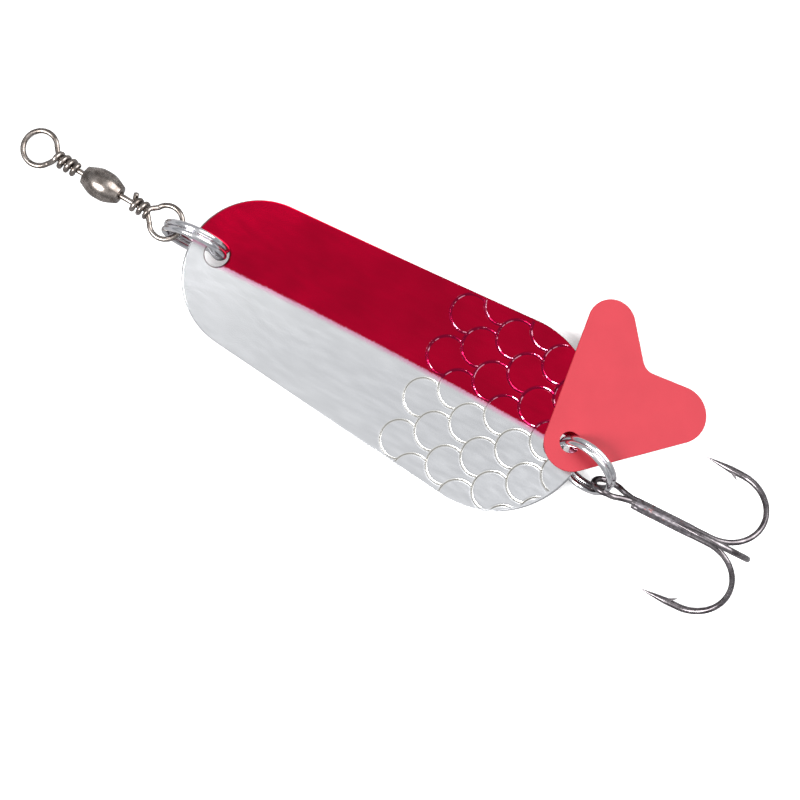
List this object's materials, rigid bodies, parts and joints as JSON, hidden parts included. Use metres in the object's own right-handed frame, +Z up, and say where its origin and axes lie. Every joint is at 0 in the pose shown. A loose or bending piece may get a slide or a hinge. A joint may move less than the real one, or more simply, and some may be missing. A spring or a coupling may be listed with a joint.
{
  "type": "spoon lure",
  "caption": "Bent metal spoon lure with a barrel swivel on a split ring in front, and a treble hook and fishtail flag on a split ring behind.",
  "frame": {"origin": "middle of the blade's belly, on the surface that the lure lies on", "axes": "+X from the line eye to the treble hook, +Y to the painted half of the blade, +Z up"},
  "size_m": [0.1235, 0.0378, 0.0204],
  "materials": {
    "blade_plate": "satin silver plate on brass, one half under clear crimson lacquer",
    "bright_nickel": "bright nickel plate on spring steel",
    "black_nickel": "black nickel plate",
    "solder": "dull grainy solder under black nickel",
    "flag_plastic": "satin coral-red sheet plastic"
  },
  "bodies": {
    "blade": {"spoon_blade": "blade_plate"},
    "front_ring": {"front_split_ring": "bright_nickel"},
    "rear_eye": {"swivel_rear_eye": "black_nickel"},
    "barrel": {"swivel_barrel": "black_nickel"},
    "front_eye": {"swivel_front_eye": "black_nickel"},
    "rear_ring": {"rear_split_ring": "bright_nickel"},
    "treble": {"hook_double_wire": "black_nickel", "hook_single_wire": "black_nickel", "hook_braze": "solder"},
    "flag": {"tail_flag": "flag_plastic"}
  },
  "joints": [
    {"name": "front_ring_turn", "type": "hinge", "parent": "blade", "child": "front_ring", "pos_m": [-0.03225, 0.00025, 0.00535], "axis": [0.0944, -0.9803, 0.1737], "range_deg": [-120, 110]},
    {"name": "swivel_swing", "type": "hinge", "parent": "front_ring", "child": "rear_eye", "pos_m": [-0.03696, -0.0002, 0.00535], "axis": [-0.0166, 0.1728, 0.9848], "range_deg": [-100, 80]},
    {"name": "barrel_spin", "type": "hinge", "parent": "rear_eye", "child": "barrel", "pos_m": [-0.04826, 0.0006, 0.00298], "axis": [-0.9847, 0.0216, -0.1729], "continuous": true},
    {"name": "front_eye_spin", "type": "hinge", "parent": "barrel", "child": "front_eye", "pos_m": [-0.04826, 0.0006, 0.00298], "axis": [-0.9847, 0.0216, -0.1729], "continuous": true},
    {"name": "rear_ring_turn", "type": "hinge", "parent": "blade", "child": "rear_ring", "pos_m": [0.0334, -0.00055, 0.00545], "axis": [-0.2226, -0.8544, 0.4695], "range_deg": [-100, 60]},
    {"name": "hook_swing", "type": "hinge", "parent": "rear_ring", "child": "treble", "pos_m": [0.03769, -0.00167, 0.00545], "axis": [-0.2198, 0.5131, 0.8297], "range_deg": [-80, 60]},
    {"name": "flag_swing", "type": "hinge", "parent": "blade", "child": "flag", "pos_m": [0.02975, 0.0013, 0.0075], "axis": [0.5727, 0.2751, 0.7722], "range_deg": [0, 60]}
  ]
}
